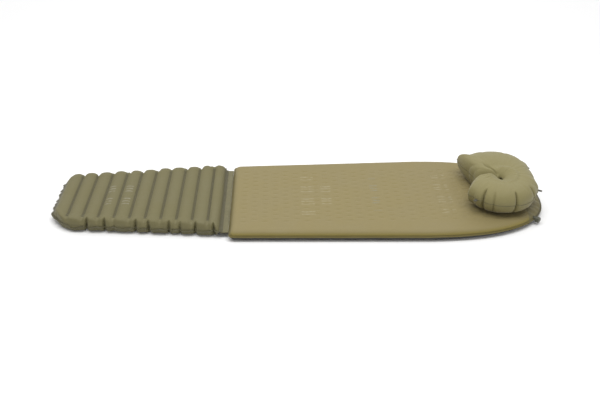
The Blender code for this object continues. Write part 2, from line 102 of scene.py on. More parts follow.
def mesh_object(name, points, faces, material):
    mesh = bpy.data.meshes.new(name)
    mesh.from_pydata([tuple(p) for p in points], [], faces)
    mesh.validate()
    mesh.shade_smooth()
    mesh.materials.append(material)
    obj = bpy.data.objects.new(name, mesh)
    bpy.context.scene.collection.objects.link(obj)
    return obj


def smooth(value, low, high):
    """0 below low, 1 above high and an even ramp between."""
    t = np.clip((np.asarray(value, float) - low) / (high - low), 0, 1)
    return t * t * (3 - 2 * t)


def rough(x, y, layer, size):
    """Fixed noise from -1 to 1 with features of about that size in metres; each layer differs."""
    return noise.noise(Vector((x, y, layer)) / size)


def bell(distance, width):
    """1 at no distance, falling off evenly on both sides."""
    return np.exp(-((distance / width) ** 2))


# ---------------------------------------------------------------- materials


class Graph:
    """Adds nodes to one material; every method gives back the socket that the next one takes."""

    def __init__(self, name):
        self.material = bpy.data.materials.new(name)
        self.material.use_nodes = True
        self.nodes = self.material.node_tree.nodes
        self.links = self.material.node_tree.links
        self.shader = self.nodes["Principled BSDF"]
        place = self.nodes.new("ShaderNodeTexCoord")
        self.place = place.outputs["Object"]
        split = self.nodes.new("ShaderNodeSeparateXYZ")
        self.links.new(self.place, split.inputs[0])
        self.x, self.y, self.z = split.outputs

    def feed(self, socket, value):
        if isinstance(value, (int, float)):
            socket.default_value = value
        elif isinstance(value, tuple):
            socket.default_value = (*value, 1) if len(value) == 3 else value
        else:
            self.links.new(value, socket)

    def math(self, operation, a, b=0.0, c=0.0):
        node = self.nodes.new("ShaderNodeMath")
        node.operation = operation
        for socket, value in zip(node.inputs, (a, b, c)):
            self.feed(socket, value)
        return node.outputs[0]

    def times(self, first, *others):
        """The product of several sockets or numbers."""
        for other in others:
            first = self.math("MULTIPLY", first, other)
        return first

    def ramp(self, value, low, high, start=0.0, end=1.0):
        """A smooth ramp from start to end as value goes from low to high."""
        node = self.nodes.new("ShaderNodeMapRange")
        node.interpolation_type = "SMOOTHSTEP"
        for socket, number in zip(node.inputs, (value, low, high, start, end)):
            self.feed(socket, number)
        return node.outputs[0]

    def noise(self, size, detail):
        """Noise from 0 to 1 with features of about that size in metres."""
        node = self.nodes.new("ShaderNodeTexNoise")
        node.inputs["Scale"].default_value = 1 / size
        node.inputs["Detail"].default_value = detail
        self.links.new(self.place, node.inputs["Vector"])
        return node.outputs[0]

    def threads(self, axis, pitch):
        """A wave from 0 to 1 across parallel threads."""
        turn = self.times(axis, math.tau / pitch)
        return self.math("MULTIPLY_ADD", self.math("SINE", turn), 0.5, 0.5)

    def mix(self, share, a, b):
        node = self.nodes.new("ShaderNodeMix")
        node.data_type = "RGBA"
        self.feed(node.inputs["Factor"], share)
        self.feed(node.inputs["A"], a)
        self.feed(node.inputs["B"], b)
        return node.outputs["Result"]

    def inside(self, value, low, high, soft):
        """1 between low and high and 0 outside, with soft ends."""
        over = self.ramp(self.math("SUBTRACT", value, low), -soft, soft)
        under = self.ramp(self.math("SUBTRACT", high, value), -soft, soft)
        return self.times(over, under)

    def phase(self, axis, pitch, start=0.0):
        """The place across a repeat along an axis, from 0 to 1."""
        return self.math("FRACT", self.math("MULTIPLY_ADD", axis, 1 / pitch, -start / pitch))

    def bars(self, axis, pitch, share, soft=0.08):
        """Repeats along an axis: 1 on share of each pitch and 0 on the rest."""
        return self.inside(self.phase(axis, pitch), 0.5 - share / 2, 0.5 + share / 2, soft)

    def bump(self, height, depth, before=None):
        node = self.nodes.new("ShaderNodeBump")
        node.inputs["Strength"].default_value = 1.0
        node.inputs["Distance"].default_value = depth
        self.feed(node.inputs["Height"], height)
        if before is not None:
            self.links.new(before, node.inputs["Normal"])
        return node.outputs[0]

    def finish(self, colour, roughness, normal=None, sheen=0.0):
        self.feed(self.shader.inputs["Base Color"], colour)
        self.feed(self.shader.inputs["Roughness"], roughness)
        if normal is not None:
            self.links.new(normal, self.shader.inputs["Normal"])
        self.shader.inputs["Sheen Weight"].default_value = sheen
        self.shader.inputs["Sheen Roughness"].default_value = 0.5
        return self.material


def shade(colour, factor):
    return tuple(c * factor for c in colour)


def woven(graph, colour, pitch, blotch=0.06, weave_depth=0.00006):
    """Plain-woven nylon: threads both ways, faint blotches and creasing."""
    weave = graph.times(graph.threads(graph.x, pitch), graph.threads(graph.y, pitch))
    broad = graph.noise(0.11, 3)
    fine = graph.noise(0.006, 2)
    varied = graph.mix(broad, shade(colour, 1 - blotch), shade(colour, 1 + blotch))
    varied = graph.mix(graph.times(fine, 0.12), varied, shade(colour, 0.6))
    varied = graph.mix(graph.times(weave, 0.14), varied, shade(colour, 1.35))
    creased = graph.bump(graph.noise(0.022, 4), 0.0009)
    normal = graph.bump(weave, weave_depth, creased)
    rough_share = graph.ramp(broad, 0.3, 0.7, 0.62, 0.74)
    return varied, rough_share, normal


KHAKI = (0.218, 0.175, 0.066)
# a darker, yellower khaki used as painted shade: on the rolled edges, in the creases and on the lower
# walls
KHAKI_SHADED = (0.212, 0.167, 0.030)
OLIVE = (0.140, 0.124, 0.050)
PALE_OLIVE = (0.212, 0.185, 0.072)
LIP_BROWN = (0.135, 0.116, 0.046)
# the underside's own dark grey, made darker still as painted shadow along the pad's lower edge
UNDER_GREY_AND_SHADOW = (0.045, 0.043, 0.036)
TAPE_OLIVE = (0.146, 0.130, 0.056)
LOOP_GREY = (0.120, 0.108, 0.062)
TAB_BROWN = (0.050, 0.045, 0.024)
PRINT_PALE = (0.43, 0.40, 0.30)
PRINT_BLUE = (0.20, 0.215, 0.19)
PRINT_LILAC = (0.36, 0.34, 0.29)

MARK_PITCH, MARK_SHARE = 0.0168, 0.26
MARK_GROUP_PITCH, MARK_GROUP_SHARE = 0.0840, 0.62
# from x to x, from y to y, ink and its strength
MAT_MARKS = (
    (0.006, 0.056, -0.130, 0.130, PRINT_PALE, 0.34),
    (0.082, 0.120, -0.078, 0.078, PRINT_PALE, 0.34),
    (0.272, 0.300, -0.110, 0.110, PRINT_BLUE, 0.55),
    (0.520, 0.548, -0.130, 0.130, PRINT_PALE, 0.30),
    (0.562, 0.574, -0.130, 0.130, PRINT_PALE, 0.30),
)
FOOT_MARKS = (
    (-0.722, -0.698, -0.075, 0.105, PRINT_LILAC, 0.50),
    (-0.660, -0.632, -0.085, 0.060, PRINT_LILAC, 0.50),
)
HEAD_LIP_X = 0.842  # where the darker, puckered lip of the head end starts
GRIP_PITCH = 0.030


def plain_marks(g, colour, marks, grain, visible=1.0):
    """Groups of plain, worn bars that stand where the real pad is printed."""
    for low, high, near, far, ink, strength in marks:
        area = g.times(g.inside(g.x, low, high, 0.001), g.inside(g.y, near, far, 0.001))
        bars = g.bars(g.y, MARK_PITCH, MARK_SHARE)
        groups = g.bars(g.y, MARK_GROUP_PITCH, MARK_GROUP_SHARE, 0.02)
        worn = g.ramp(g.noise(grain, 3), 0.25, 0.6)
        colour = g.mix(g.times(area, bars, groups, worn, strength, visible), colour, ink)
    return colour


def mat_fabric():
    g = Graph("mat_fabric_woven")
    colour, roughness, normal = woven(g, KHAKI, 0.0011)
    # Painted shade: the rolled edge below the top turns to a darker, yellower khaki.
    edge = g.ramp(g.z, MAT_TOP - 0.0025, MAT_TOP - 0.0140)
    colour = g.mix(edge, colour, KHAKI_SHADED)
    # Painted shade: a dark line low on the roll, where it tucks into the weld.
    crease = g.ramp(g.z, MAT_SEAM + 0.0070, MAT_SEAM + 0.0025)
    colour = g.mix(g.times(crease, 0.55), colour, shade(KHAKI_SHADED, 0.30))
    colour = plain_marks(g, colour, MAT_MARKS, 0.012)
    wandering_x = g.math("MULTIPLY_ADD", g.noise(0.05, 2), 0.016, g.x)
    lip = g.ramp(wandering_x, HEAD_LIP_X - 0.004, HEAD_LIP_X + 0.004)
    colour = g.mix(g.times(lip, 0.85), colour, LIP_BROWN)
    # Painted shade: at the head end the roll is darker still just above the weld.
    at_head = g.ramp(g.x, HEAD_LIP_X - 0.002, HEAD_LIP_X + 0.018)
    rim = g.times(g.ramp(g.z, MAT_SEAM + 0.0035, MAT_SEAM + 0.0010), at_head)
    colour = g.mix(g.times(rim, 0.6), colour, shade(LIP_BROWN, 0.4))
    return g.finish(colour, roughness, normal, sheen=0.15)


def underside_fabric():
    """Dark underside with grip dots, which keep the pad from sliding; its dark grey is partly its own
    colour and partly painted shadow along the lower edge.
    """
    g = Graph("mat_underside_woven")
    colour, roughness, normal = woven(g, UNDER_GREY_AND_SHADOW, 0.0016, blotch=0.10, weave_depth=0.00010)
    dot_x = g.math("SUBTRACT", g.phase(g.x, GRIP_PITCH), 0.5)
    dot_y = g.math("SUBTRACT", g.phase(g.y, GRIP_PITCH), 0.5)
    away = g.math("ADD", g.times(dot_x, dot_x), g.times(dot_y, dot_y))
    dots = g.times(g.ramp(away, 0.012, 0.008), g.ramp(g.z, 0.004, 0.002))
    colour = g.mix(dots, colour, shade(UNDER_GREY_AND_SHADOW, 2.2))
    # Painted shade: near the weld the underside turns to a darkened khaki.
    colour = g.mix(g.ramp(g.z, 0.012, 0.017), colour, shade(KHAKI_SHADED, 0.62))
    return g.finish(colour, roughness, g.bump(dots, 0.0004, normal), sheen=0.08)


def foot_fabric():
    """Olive nylon, darker in the welded valleys (partly painted shade), with painted shade low on the
    walls and along the seam.
    """
    g = Graph("foot_fabric_woven")
    colour, roughness, normal = woven(g, OLIVE, 0.0010)
    colour = plain_marks(g, colour, FOOT_MARKS, 0.010, g.ramp(g.z, FOOT_SEAM, FOOT_SEAM + 0.01))
    # The welded valleys are darker: partly the weld's own band, partly painted shade between the
    # tubes.
    across = g.phase(g.x, TUBE_PITCH, VALLEYS[0] - TUBE_PITCH / 2)
    reach = g.math("MULTIPLY_ADD", g.x, 0.078, 0.192)
    quilted = g.inside(g.y, g.times(reach, -1), g.math("ADD", reach, 0.022), 0.004)
    top_side = g.times(quilted, g.ramp(g.z, FOOT_SEAM + 0.006, FOOT_SEAM + 0.012))
    valley = g.times(g.inside(across, 0.415, 0.585, 0.045), top_side)
    colour = g.mix(g.times(valley, 0.72), colour, shade(OLIVE, 0.40))
    # Painted shade on the lower wall, below the seam.
    lower_wall_shade = g.times(g.ramp(g.z, FOOT_SEAM - 0.002, FOOT_SEAM - 0.012), 0.40)
    colour = g.mix(lower_wall_shade, colour, shade(OLIVE, 0.50))
    # Painted shade along the seam, where the wall tucks in at the weld.
    seam_crease_shade = g.times(g.inside(g.z, FOOT_SEAM - 0.002, FOOT_SEAM + 0.002, 0.003), 0.35)
    colour = g.mix(seam_crease_shade, colour, shade(OLIVE, 0.45))
    return g.finish(colour, roughness, normal, sheen=0.06)


def pillow_fabric():
    g = Graph("pillow_fabric_woven")
    colour, roughness, normal = woven(g, PALE_OLIVE, 0.0010, blotch=0.05)
    # Painted shade on the lower wall, darker towards the base.
    low = g.ramp(g.z, PILLOW_SEAM + 0.01, PILLOW_BASE)
    colour = g.mix(g.times(low, 0.60), colour, shade(KHAKI_SHADED, 0.65))
    return g.finish(colour, roughness, normal, sheen=0.15)


def seam_fabric(name, colour):
    """Heat-welded margin, pressed with a fine cross-hatch."""
    g = Graph(name)
    rising = g.threads(g.math("ADD", g.x, g.y), 0.0021)
    falling = g.threads(g.math("SUBTRACT", g.x, g.y), 0.0021)
    hatch = g.times(rising, falling)
    varied = g.mix(g.noise(0.02, 3), shade(colour, 0.75), shade(colour, 1.15))
    varied = g.mix(g.times(hatch, 0.25), varied, shade(colour, 1.4))
    return g.finish(varied, 0.6, g.bump(hatch, 0.00025), sheen=0.1)


def pile_fabric(name, colour, pitch):
    """Hook or loop tape, or webbing: rows of tiny piles."""
    g = Graph(name)
    piles = g.times(g.threads(g.x, pitch), g.threads(g.y, pitch * 1.3))
    fuzz = g.noise(pitch * 1.5, 4)
    height = g.times(piles, fuzz)
    varied = g.mix(g.noise(0.03, 2), shade(colour, 0.8), shade(colour, 1.15))
    varied = g.mix(g.times(height, 0.8), varied, shade(colour, 1.7))
    varied = g.mix(g.ramp(fuzz, 0.62, 0.3, 0, 0.5), varied, shade(colour, 0.4))
    return g.finish(varied, 0.92, g.bump(height, 0.0007), sheen=0.4)


def moulded(name, colour, roughness):
    """Moulded plastic or rubber with a fine grain and rubbed patches."""
    g = Graph(name)
    grain = g.noise(0.0006, 3)
    worn = g.noise(0.012, 3)
    varied = g.mix(g.ramp(worn, 0.35, 0.75), colour, shade(colour, 1.6))
    rough_share = g.ramp(worn, 0.3, 0.7, roughness - 0.06, roughness + 0.08)
    return g.finish(varied, rough_share, g.bump(grain, 0.00005))


def foam_material():
    g = Graph("foam_open_cell")
    cells = g.noise(0.0016, 4)
    colour = g.mix(g.ramp(cells, 0.35, 0.65), (0.52, 0.43, 0.22), (0.80, 0.72, 0.45))
    return g.finish(colour, 0.95, g.bump(cells, 0.0007))


def film_material():
    g = Graph("baffle_laminate")
    haze = g.noise(0.02, 3)
    colour = g.mix(haze, (0.36, 0.35, 0.30), (0.50, 0.49, 0.42))
    return g.finish(colour, g.ramp(haze, 0.3, 0.7, 0.35, 0.55), g.bump(haze, 0.0008))


MAT_FABRIC = mat_fabric()
UNDERSIDE = underside_fabric()
FOOT_FABRIC = foot_fabric()
PILLOW_FABRIC = pillow_fabric()
FOOT_WELD = seam_fabric("foot_weld_pressed", shade(OLIVE, 0.55))
PILLOW_WELD = seam_fabric("pillow_weld_pressed", shade(PALE_OLIVE, 0.55))
HOOK = pile_fabric("hook_tape_pile", TAPE_OLIVE, 0.0016)
LOOP = pile_fabric("loop_tape_pile", LOOP_GREY, 0.0012)
WEBBING = pile_fabric("tab_webbing", TAB_BROWN, 0.0012)
PLASTIC = moulded("valve_plastic_moulded", (0.060, 0.060, 0.036), 0.42)
RUBBER = moulded("valve_rubber_moulded", (0.030, 0.030, 0.026), 0.60)
THREAD = moulded("stitch_thread", (0.080, 0.074, 0.045), 0.80)
FOAM = foam_material()
FILM = film_material()


# ---------------------------------------------------------------- the mat


def arc_points(centre, radius, start, end, steps):
    angles = np.radians(np.linspace(start, end, steps + 1))
    return np.column_stack([centre[0] + radius * np.cos(angles), centre[1] + radius * np.sin(angles)])


HEAD_STEPS, SIDE_STEPS, FOOT_STEPS = 400, 180, 150
MAT_SPINE = (MAT_FOOT_X + 0.20, 0.66)  # the rings of the skins close on this line
PUCKER_CENTRE_X = 0.60  # the lip's puckers run out from here
RIPPLE_X, RIPPLE_Y = 0.60, -0.02  # where the pillow's weight ripples the top


def between(start, end, steps):
    """The points that divide a straight side, without its ends."""
    share = np.linspace(0, 1, steps + 1)[1:-1, None]
    return start + (end - start) * share


def mat_outline(inset, head_inset):
    """The mat's outline moved in, anticlockwise from the near shoulder round the head end."""
    half = MAT_HALF_WIDTH - inset
    head = MAT_HEAD_X - MAT_SHOULDER_X - head_inset
    angle = np.pi * (np.linspace(0, 1, HEAD_STEPS + 1) - 0.5)
    across = np.sin(angle)
    along = np.maximum(np.cos(angle), 0)
    head_x = MAT_SHOULDER_X + head * along ** (2 / MAT_HEAD_POWER)
    head_y = half * np.sign(across) * np.abs(across) ** (2 / MAT_HEAD_POWER)
    head_end = np.column_stack([head_x, head_y])
    x = MAT_FOOT_X + inset + MAT_CORNER
    y = MAT_FOOT_HALF_WIDTH - inset - MAT_CORNER
    far = arc_points((x, y), MAT_CORNER, 90, 180, 8)
    near = arc_points((x, -y), MAT_CORNER, 180, 270, 8)
    far_side = between(head_end[-1], far[0], SIDE_STEPS)
    foot_end = between(far[-1], near[0], FOOT_STEPS)
    near_side = between(near[-1], head_end[0], SIDE_STEPS)
    return np.vstack([head_end, far_side, far, foot_end, near, near_side])


DIMPLE_PITCH_X, DIMPLE_PITCH_Y = 0.0385, 0.028
DIMPLE_LENGTH, DIMPLE_WIDTH, DIMPLE_DEPTH = 0.025, 0.0080, 0.0020
DIMPLE_START_X = -0.206
DIMPLE_REACH_Y = 0.180
DIP_LIMIT = 0.0021  # the deepest that the top dips, which keeps it clear of the foam


def dimples(x, y):
    """Depth of the dimples that the foam's cored slots leave in the top, 0 to 1."""
    column = np.round((x - DIMPLE_START_X) / DIMPLE_PITCH_X)
    u = (x - DIMPLE_START_X - column * DIMPLE_PITCH_X) / (DIMPLE_LENGTH / 2)
    stagger = DIMPLE_PITCH_Y / 2 * (column % 2)
    row = np.round((y - stagger) / DIMPLE_PITCH_Y)
    v = (y - stagger - row * DIMPLE_PITCH_Y) / (DIMPLE_WIDTH / 2)
    lozenge = np.clip(1 - np.abs(u) ** 2.5, 0, 1) * np.exp(-(v**2))
    inside = (column >= 0) * (np.abs(row * DIMPLE_PITCH_Y + stagger) < DIMPLE_REACH_Y)
    return lozenge * inside


def mat_rings(side, rings_inside):
    """Rings of x, y and height over the seam, from the weld's edge over the roll to a spine."""
    roll = MAT_ROLL if side > 0 else MAT_BASE_ROLL
    sections = [(0.0, 0.0, 0.0), (0.0002, 0.0, FILM_HALF), (WELD, 0.0, FILM_HALF)]
    for angle in np.radians(np.linspace(0, 90, 13))[1:]:
        inward = 1 - math.cos(angle)
        level = FILM_HALF + (MAT_SEAM - FILM_HALF) * math.sin(angle)
        sections.append((WELD + roll * inward, inward, level))
    rings = []
    for inset, share, level in sections:
        outline = mat_outline(inset, min(inset, WELD) + share * MAT_HEAD_ROLL)
        rings.append(np.column_stack([outline, np.full(len(outline), level)]))
    last = rings[-1]
    spine = np.clip(last[:, 0], *MAT_SPINE)
    for t in np.arange(1, rings_inside + 1) / rings_inside:
        ring = last.copy()
        ring[:, 0] += (spine - last[:, 0]) * t
        ring[:, 1] *= 1 - t
        rings.append(ring)
    return rings


def top_relief(x, y, height, flat, rounded):
    """Unevenness of the top skin: ripples by the pillow, puckers on the head's lip, dimples."""
    lip = smooth(x, 0.80, 0.86) * smooth(height, 0.002, 0.008)
    angle = np.arctan2(y, x - PUCKER_CENTRE_X)
    z = height.copy()
    for i in range(len(z)):
        broad = rough(x[i], y[i], 3.0, 0.13)
        ripple = abs(rough(x[i], y[i] * 1.6, 7.0, 0.016))
        near_pillow = bell(x[i] - RIPPLE_X, 0.07) * bell(y[i] - RIPPLE_Y, 0.17)
        z[i] -= flat[i] * (0.0002 * (1 + broad) + 0.0012 * near_pillow * (0.5 - ripple))
        radial = rough(angle[i] * 0.9, x[i] * 0.25, 2.0, 0.05)
        pucker = radial + 0.6 * rough(x[i], y[i], 9.0, 0.016)
        z[i] += lip[i] * (0.0032 * pucker - 0.0015)
        z[i] += rounded[i] * 0.0006 * rough(x[i], y[i], 4.0, 0.035)
    z -= flat * DIMPLE_DEPTH * dimples(x, y)
    return np.where(flat > 0.9, np.maximum(z, MAT_SEAM - DIP_LIMIT), z)


def under_relief(x, y, height, flat, rounded):
    """Unevenness of the bottom skin."""
    z = height.copy()
    for i in range(len(z)):
        z[i] -= flat[i] * 0.0009 * (1 + rough(x[i], y[i], 5.0, 0.05))
        z[i] += rounded[i] * 0.0008 * rough(x[i], y[i], 6.0, 0.03)
    return z


def mat_cover(name, side, material, rings_inside, node):
    """One skin of the mat: side is 1 for the top and -1 for the bottom."""
    rings = mat_rings(side, rings_inside)
    count = len(rings[0])
    x, y, height = np.vstack(rings).T
    flat = smooth(height, MAT_SEAM * 0.8, MAT_SEAM * 0.995)
    rounded = smooth(height, MAT_SEAM * 0.1, MAT_SEAM * 0.6) * (1 - flat * 0.6)
    relief = top_relief if side > 0 else under_relief
    z = np.clip(relief(x, y, height, flat, rounded), 0, MAT_SEAM)
    wave = np.array([rough(a, b, 1.0, 0.045) for a, b in zip(x[:count], y[:count])])
    weld = np.tile(wave, len(rings)) * (1 - smooth(height, 0.001, 0.012)) * 0.0011
    points = np.column_stack([x, y, MAT_SEAM + side * z + weld])
    faces = []
    for ring in range(len(rings) - 1):
        a, b = ring * count, (ring + 1) * count
        for i in range(count):
            j = (i + 1) % count
            quad = (a + i, a + j, b + j, b + i)
            faces.append(quad if side > 0 else quad[::-1])
    cover = mesh_object(name, points, faces, material)
    weld_mesh(cover)
    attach(cover, "mat")
    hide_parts(node)
    return cover


def weld_mesh(obj):
    """Joins the points that meet on the spine."""
    bm = bmesh.new()
    bm.from_mesh(obj.data)
    bmesh.ops.remove_doubles(bm, verts=bm.verts, dist=0.00005)
    bmesh.ops.dissolve_degenerate(bm, edges=bm.edges, dist=0.00001)
    bm.to_mesh(obj.data)
    bm.free()
    obj.data.shade_smooth()


def mat():
    top = mat_cover("mat_cover", 1, MAT_FABRIC, 104, "mat_top_skin")
    base = mat_cover("mat_base_cover", -1, UNDERSIDE, 60, "mat_bottom_skin")


mat()


# ---------------------------------------------------------------- inflation


PRESSURE = 30
BLOW_FRAMES = 22


def inflate(name, points, flat, faces, pinned, bending):
    """Blows up two welded sheets with Blender's cloth.

    flat is the cut, which sets the rest lengths, and the pinned points stay where they start.
    """
    mesh = bpy.data.meshes.new(name)
    mesh.from_pydata([tuple(p) for p in points], [], faces)
    obj = bpy.data.objects.new(name, mesh)
    scene = bpy.context.scene
    scene.collection.objects.link(obj)
    obj.shape_key_add(name="Basis")
    cut = obj.shape_key_add(name="cut")
    for key, place in zip(cut.data, flat):
        key.co = place
    cut.value = 0
    group = obj.vertex_groups.new(name="pinned")
    group.add([int(i) for i in pinned], 1, "REPLACE")
    modifier = obj.modifiers.new("Cloth", "CLOTH")
    cloth = modifier.settings
    cloth.quality = 6
    cloth.mass = 0.05
    cloth.use_pressure = True
    cloth.uniform_pressure_force = PRESSURE
    cloth.effector_weights.gravity = 0
    cloth.tension_stiffness = cloth.compression_stiffness = 15
    cloth.shear_stiffness = 6
    cloth.bending_stiffness = bending
    cloth.tension_damping = cloth.compression_damping = cloth.shear_damping = 5
    cloth.vertex_group_mass = "pinned"
    cloth.pin_stiffness = 1
    cloth.rest_shape_key = cut
    modifier.collision_settings.use_collision = False
    modifier.collision_settings.use_self_collision = False
    modifier.point_cache.frame_end = BLOW_FRAMES
    scene.frame_start, scene.frame_end = 1, BLOW_FRAMES
    for frame_number in range(1, BLOW_FRAMES + 1):
        scene.frame_set(frame_number)
    evaluated = obj.evaluated_get(bpy.context.evaluated_depsgraph_get())
    result = np.array([v.co for v in evaluated.data.vertices])
    bpy.data.objects.remove(obj)
    scene.frame_set(1)
    return result


def rise(distance, reach):
    """A quarter ellipse: 0 at an edge and 1 from reach inward."""
    inward = min(max(distance / reach, 0), 1)
    return math.sqrt(1 - (1 - inward) ** 2)


def weld_strip(name, loop, outward, width, material, body, wave, room=None):
    """The flat welded margin: a thin closed band outside the seam's loop of points.

    At the foot end it is wider and ragged. room moves the points clear of something.
    """
    sections = []
    for point, out in zip(loop, outward):
        lift = wave * rough(*point, 0.03)
        spare = float(smooth(point[0], FOOT_END_X + 0.07, FOOT_END_X + 0.03))
        spare *= float(smooth(point[1], -0.15, 0.0)) * 0.7 + 0.3
        ragged = rough(point[0], point[1], 5.0, 0.014)
        reach = width * (1 + 2.0 * spare) * (1 + (0.35 + 1.2 * spare) * ragged)
        reach = max(reach, STRIP_ROOT)
        tip = Vector(point) + out * reach + Vector((0, 0, lift - 0.5 * reach))
        root = Vector(point) - out * STRIP_ROOT
        up = Vector((0, 0, STRIP_HALF))
        sections.append([root - up, tip - up * 0.7, tip + up * 0.7, root + up])
    points = [p for section in sections for p in section]
    if room:
        points = room(points)
    faces = []
    for i in range(len(loop)):
        j = (i + 1) % len(loop)
        for k in range(4):
            m = (k + 1) % 4
            faces.append((4 * i + k, 4 * j + k, 4 * j + m, 4 * i + m))
    strip = mesh_object(name, points, faces, material)
    strip.data.set_sharp_from_angle(angle=math.radians(50))
    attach(strip, body)
    return strip


def loop_outward(loop):
    """For each point of a closed anticlockwise loop, the level direction that points out of it."""
    loop = np.array(loop)
    ahead = np.roll(loop, -2, axis=0) - np.roll(loop, 2, axis=0)
    out = np.column_stack([ahead[:, 1], -ahead[:, 0], np.zeros(len(loop))])
    return [Vector(o).normalized() for o in out]


# ---------------------------------------------------------------- the foot section

TUBE_COLUMNS = 10
FOOT_ROWS = 64
BAFFLE_END_GAP = 0.042
FOOT_SIDE_ROLL = 0.014
FOOT_CUT_EXTRA = 0.020  # the cut is wider than the blown-up section on each side
TUBE_CUT = 1.24  # flat width of a tube over its blown-up pitch
END_TUBE_CUT = 1.30
FOOT_VALVE_TILT = math.radians(-28)
PLUG_REACH, PRESSED_REACH = 0.034, 0.060  # from the foot valve's middle
NEAR_CORNER = 0.096  # the foot end's near corner is rounder than the CAD's
# how far each fold in the near wall stands from its valley, and its depth
FOOT_CREASES = (
    (-0.042, 0.3),
    (0.017, 1.0),
    (0.026, 1.0),
    (0.004, 0.25),
    (0.025, 1.0),
    (0.016, 1.0),
    (0.032, 0.9),
    (0.015, 0.7),
    (0.013, 1.0),
    (0.023, 0.9),
)
FOOT_FOLD_DEPTH, FOOT_FOLD_WIDTH = 0.021, 0.0046
SEAM_DROOP = 0.0055  # how far the seam sags between two valleys
WALL_BULGE = 0.006  # how far the near and far walls bulge just over the floor
CUT_CENTRE_X = -0.6  # where the flat cut lies along X


def foot_half_width(x, side):
    """Half the width at x, towards the near (negative) or the far side."""
    inner = FOOT_END_X + FOOT_CORNER
    slope = (FOOT_COUPLER_HALF_WIDTH - FOOT_END_HALF_WIDTH) / (FOOT_COUPLER_X - inner)
    straight = FOOT_END_HALF_WIDTH + slope * (x - inner)
    radius = NEAR_CORNER if side < 0 else FOOT_CORNER
    short = max(FOOT_END_X + radius - x, 0)
    return straight - radius + math.sqrt(max(radius**2 - short**2, 0))


def tube_columns():
    """Each column's x, its x on the flat cut, its tube and its place across the tube."""
    bounds = [FOOT_END_X + WELD, *VALLEYS, FOOT_COUPLER_X - WELD]
    columns, flat = [], 0
    last = len(bounds) - 2
    for tube, (low, high) in enumerate(zip(bounds, bounds[1:])):
        end = tube in (0, last)
        count = TUBE_COLUMNS + 4 if end else TUBE_COLUMNS
        cut = (high - low) * (END_TUBE_CUT if end else TUBE_CUT)
        for i in range(count):
            columns.append((low + (high - low) * i / count, flat + cut * i / count, tube, i / count))
        flat += cut
    columns.append((bounds[-1], flat, last, 1.0))
    return columns, last


def foot_sheets(columns, last):
    """Both sheets' starting shape, their flat cut, and the points that are held."""
    points, flat, pinned, number, valley_points = [], [], [], {}, set()
    middle = columns[-1][1] / 2
    ends = (0, len(columns) - 1)
    for side in (1, -1):
        for c, (x, flat_x, tube, share) in enumerate(columns):
            left = 0 if tube == 0 else VALLEY_HALF_HEIGHT
            right = 0 if tube == last else VALLEY_HALF_HEIGHT
            edge = left + (right - left) * share
            height = edge + (FOOT_SEAM - edge) * 0.88 * math.sin(math.pi * share) ** 0.8
            from_end = min(x - columns[0][0], columns[-1][0] - x)
            full = FOOT_SEAM * 0.95 * rise(from_end, 0.03)
            for r in range(FOOT_ROWS + 1):
                on_weld = c in ends or r in (0, FOOT_ROWS)
                if on_weld and side < 0:
                    number[side, c, r] = number[1, c, r]
                    continue
                across = 2 * r / FOOT_ROWS - 1
                half = foot_half_width(x, across) - WELD
                y = across * half
                channel = float(smooth(abs(y), half - 0.046, half - 0.020)) * 0.8
                level = (height + (full - height) * channel) * rise(half - abs(y), FOOT_SIDE_ROLL)
                number[side, c, r] = len(points)
                points.append((x, y, FOOT_SEAM + side * level))
                cut_y = across * (half + FOOT_CUT_EXTRA)
                flat.append((flat_x - middle + CUT_CENTRE_X, cut_y, FOOT_SEAM))
                quilted = share == 0 and tube > 0 and not on_weld
                if quilted and abs(y) < half + WELD - BAFFLE_END_GAP:
                    pinned.append(number[side, c, r])
                    valley_points.add(number[side, c, r])
                elif on_weld and x < FOOT_END_X + NEAR_CORNER * 0.9:
                    pinned.append(number[side, c, r])
    return points, flat, pinned, number, valley_points


def sheet_faces(number, columns, rows, corners):
    """The faces of two sheets with shared edges; corners go anticlockwise round a top face."""
    faces = []
    for side in (1, -1):
        for c in range(columns):
            for r in range(rows):
                quad = [number[side, c + i, r + j] for i, j in corners]
                faces.append(quad if side > 0 else quad[::-1])
    return faces


def foot_section():
    columns, last = tube_columns()
    points, flat, pinned, number, valley_points = foot_sheets(columns, last)
    end = len(columns) - 1
    faces = sheet_faces(number, end, FOOT_ROWS, ((0, 0), (1, 0), (1, 1), (0, 1)))
    blown = inflate("foot_cloth", points, flat, faces, pinned, 0.25)
    blown = fit_foot(blown)
    cover = mesh_object("foot_cover", blown, faces, FOOT_FABRIC)
    sharpen(cover, valley_points, 0.75)
    subdivide(cover)
    reshape(cover, crease_foot)
    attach(cover, "foot")
    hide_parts("foot_top_skin", "foot_bottom_skin")
    blown = crease_foot(blown)
    order = [(c, 0) for c in range(end)] + [(end, r) for r in range(FOOT_ROWS)]
    order += [(c, FOOT_ROWS) for c in range(end, 0, -1)]
    order += [(0, r) for r in range(FOOT_ROWS, 0, -1)]
    loop = [blown[number[1, c, r]] for c, r in order]
    outward = loop_outward(loop)
    slot, wave = "foot_fabric", 0.0012
    weld_strip("foot_weld", loop, outward, 0.0030, FOOT_WELD, "foot", wave, clear_foot_valve)


